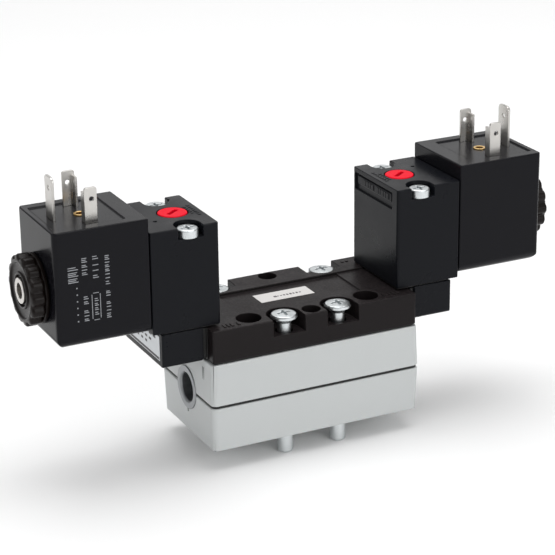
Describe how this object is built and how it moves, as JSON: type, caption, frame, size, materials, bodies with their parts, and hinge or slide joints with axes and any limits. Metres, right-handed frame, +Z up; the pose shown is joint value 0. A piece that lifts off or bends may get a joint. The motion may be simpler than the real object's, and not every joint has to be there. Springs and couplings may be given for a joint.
{
  "type": "solenoid directional valve",
  "caption": "Double solenoid pilot-operated spool valve on a two-layer ported base, with hand overrides and plug-in coils",
  "frame": {"origin": "centre of the base's underside", "axes": "+X along the valve towards the right coil, +Y to the rear, +Z up"},
  "size_m": [0.1796, 0.0394, 0.098],
  "materials": {
    "base_paint": "light grey satin paint over die-cast metal",
    "body_coating": "brown-black satin coating over die-cast metal",
    "housing_plastic": "satin black moulded plastic",
    "coil_plastic": "smooth black encapsulation resin",
    "nut_plastic": "black fluted moulding",
    "red_plastic": "red moulded plastic",
    "rubber": "black nitrile rubber",
    "zinc_steel": "bright zinc plated steel",
    "stainless": "turned stainless steel",
    "nickel": "nickel plated sheet",
    "bush_metal": "machined light alloy",
    "aluminium": "ground light alloy",
    "brass": "turned brass",
    "copper": "enamelled copper winding, stands for copper",
    "white_label": "white film label",
    "metal_label": "printed silver foil label"
  },
  "bodies": {
    "valve": {"base_lower": "base_paint", "seam_gasket": "rubber", "base_upper": "base_paint", "interface_seal": "rubber", "valve_body": "body_coating", "spool_sleeve": "aluminium", "mounting_screws": "zinc_steel", "rating_label": "white_label", "end_label": "metal_label", "left_port_bush": "bush_metal", "right_port_bush": "bush_metal", "left_end_cap": "housing_plastic", "right_end_cap": "housing_plastic", "left_end_cap_gasket": "rubber", "right_end_cap_gasket": "rubber", "left_end_cap_screws": "zinc_steel", "right_end_cap_screws": "zinc_steel", "left_pilot_gasket": "rubber", "right_pilot_gasket": "rubber", "left_pilot_housing": "housing_plastic", "right_pilot_housing": "housing_plastic", "left_pilot_screws": "zinc_steel", "right_pilot_screws": "zinc_steel", "left_pilot_seat": "brass", "right_pilot_seat": "brass", "left_tube_seal": "rubber", "right_tube_seal": "rubber", "left_armature_tube": "stainless", "right_armature_tube": "stainless", "left_armature_spring": "stainless", "right_armature_spring": "stainless", "left_override_spring": "stainless", "right_override_spring": "stainless"},
    "spool": {"spool": "aluminium", "spool_seals": "rubber", "left_pilot_piston": "aluminium", "right_pilot_piston": "aluminium", "left_piston_seal": "rubber", "right_piston_seal": "rubber"},
    "left_armature": {"left_armature": "stainless"},
    "left_override_push": {"left_override_plunger": "brass"},
    "left_override_turn": {"left_override_cap": "red_plastic"},
    "left_coil": {"left_coil_case": "coil_plastic", "left_coil_winding": "copper", "left_coil_yoke": "zinc_steel", "left_power_blades": "nickel", "left_earth_blade": "nickel", "left_terminal_insert": "brass"},
    "left_nut": {"left_coil_nut": "nut_plastic"},
    "right_armature": {"right_armature": "stainless"},
    "right_override_push": {"right_override_plunger": "brass"},
    "right_override_turn": {"right_override_cap": "red_plastic"},
    "right_coil": {"right_coil_case": "coil_plastic", "right_coil_winding": "copper", "right_coil_yoke": "zinc_steel", "right_power_blades": "nickel", "right_earth_blade": "nickel", "right_terminal_insert": "brass"},
    "right_nut": {"right_coil_nut": "nut_plastic"}
  },
  "joints": [
    {"name": "spool_slide", "type": "slide", "parent": "valve", "child": "spool", "axis": [1, 0, 0], "range_m": [0, 0.003]},
    {"name": "left_armature_slide", "type": "slide", "parent": "valve", "child": "left_armature", "axis": [-1, 0, 0], "range_m": [0, 0.00078], "stiffness_N_per_m": 400, "springref_m": -0.003, "deforming": ["left_armature_spring"]},
    {"name": "left_override_push", "type": "slide", "parent": "valve", "child": "left_override_push", "axis": [0, 0, -1], "range_m": [0, 0.0012], "stiffness_N_per_m": 900, "springref_m": -0.002, "deforming": ["left_override_spring"]},
    {"name": "left_override_turn", "type": "hinge", "parent": "left_override_push", "child": "left_override_turn", "pos_m": [-0.0396, 0, 0.0736], "axis": [0, 0, -1], "range_deg": [0, 90]},
    {"name": "left_coil_swivel", "type": "hinge", "parent": "valve", "child": "left_coil", "pos_m": [-0.0685, 0, 0.057], "axis": [-1, 0, 0], "continuous": true},
    {"name": "left_nut_turn", "type": "hinge", "parent": "valve", "child": "left_nut", "pos_m": [-0.0865, 0, 0.057], "axis": [-1, 0, 0], "continuous": true},
    {"name": "right_armature_slide", "type": "slide", "parent": "valve", "child": "right_armature", "axis": [1, 0, 0], "range_m": [0, 0.00078], "stiffness_N_per_m": 400, "springref_m": -0.003, "deforming": ["right_armature_spring"]},
    {"name": "right_override_push", "type": "slide", "parent": "valve", "child": "right_override_push", "axis": [0, 0, -1], "range_m": [0, 0.0012], "stiffness_N_per_m": 900, "springref_m": -0.002, "deforming": ["right_override_spring"]},
    {"name": "right_override_turn", "type": "hinge", "parent": "right_override_push", "child": "right_override_turn", "pos_m": [0.0396, 0, 0.0736], "axis": [0, 0, -1], "range_deg": [0, 90]},
    {"name": "right_coil_swivel", "type": "hinge", "parent": "valve", "child": "right_coil", "pos_m": [0.0685, 0, 0.057], "axis": [1, 0, 0], "continuous": true},
    {"name": "right_nut_turn", "type": "hinge", "parent": "valve", "child": "right_nut", "pos_m": [0.0865, 0, 0.057], "axis": [1, 0, 0], "continuous": true}
  ]
}
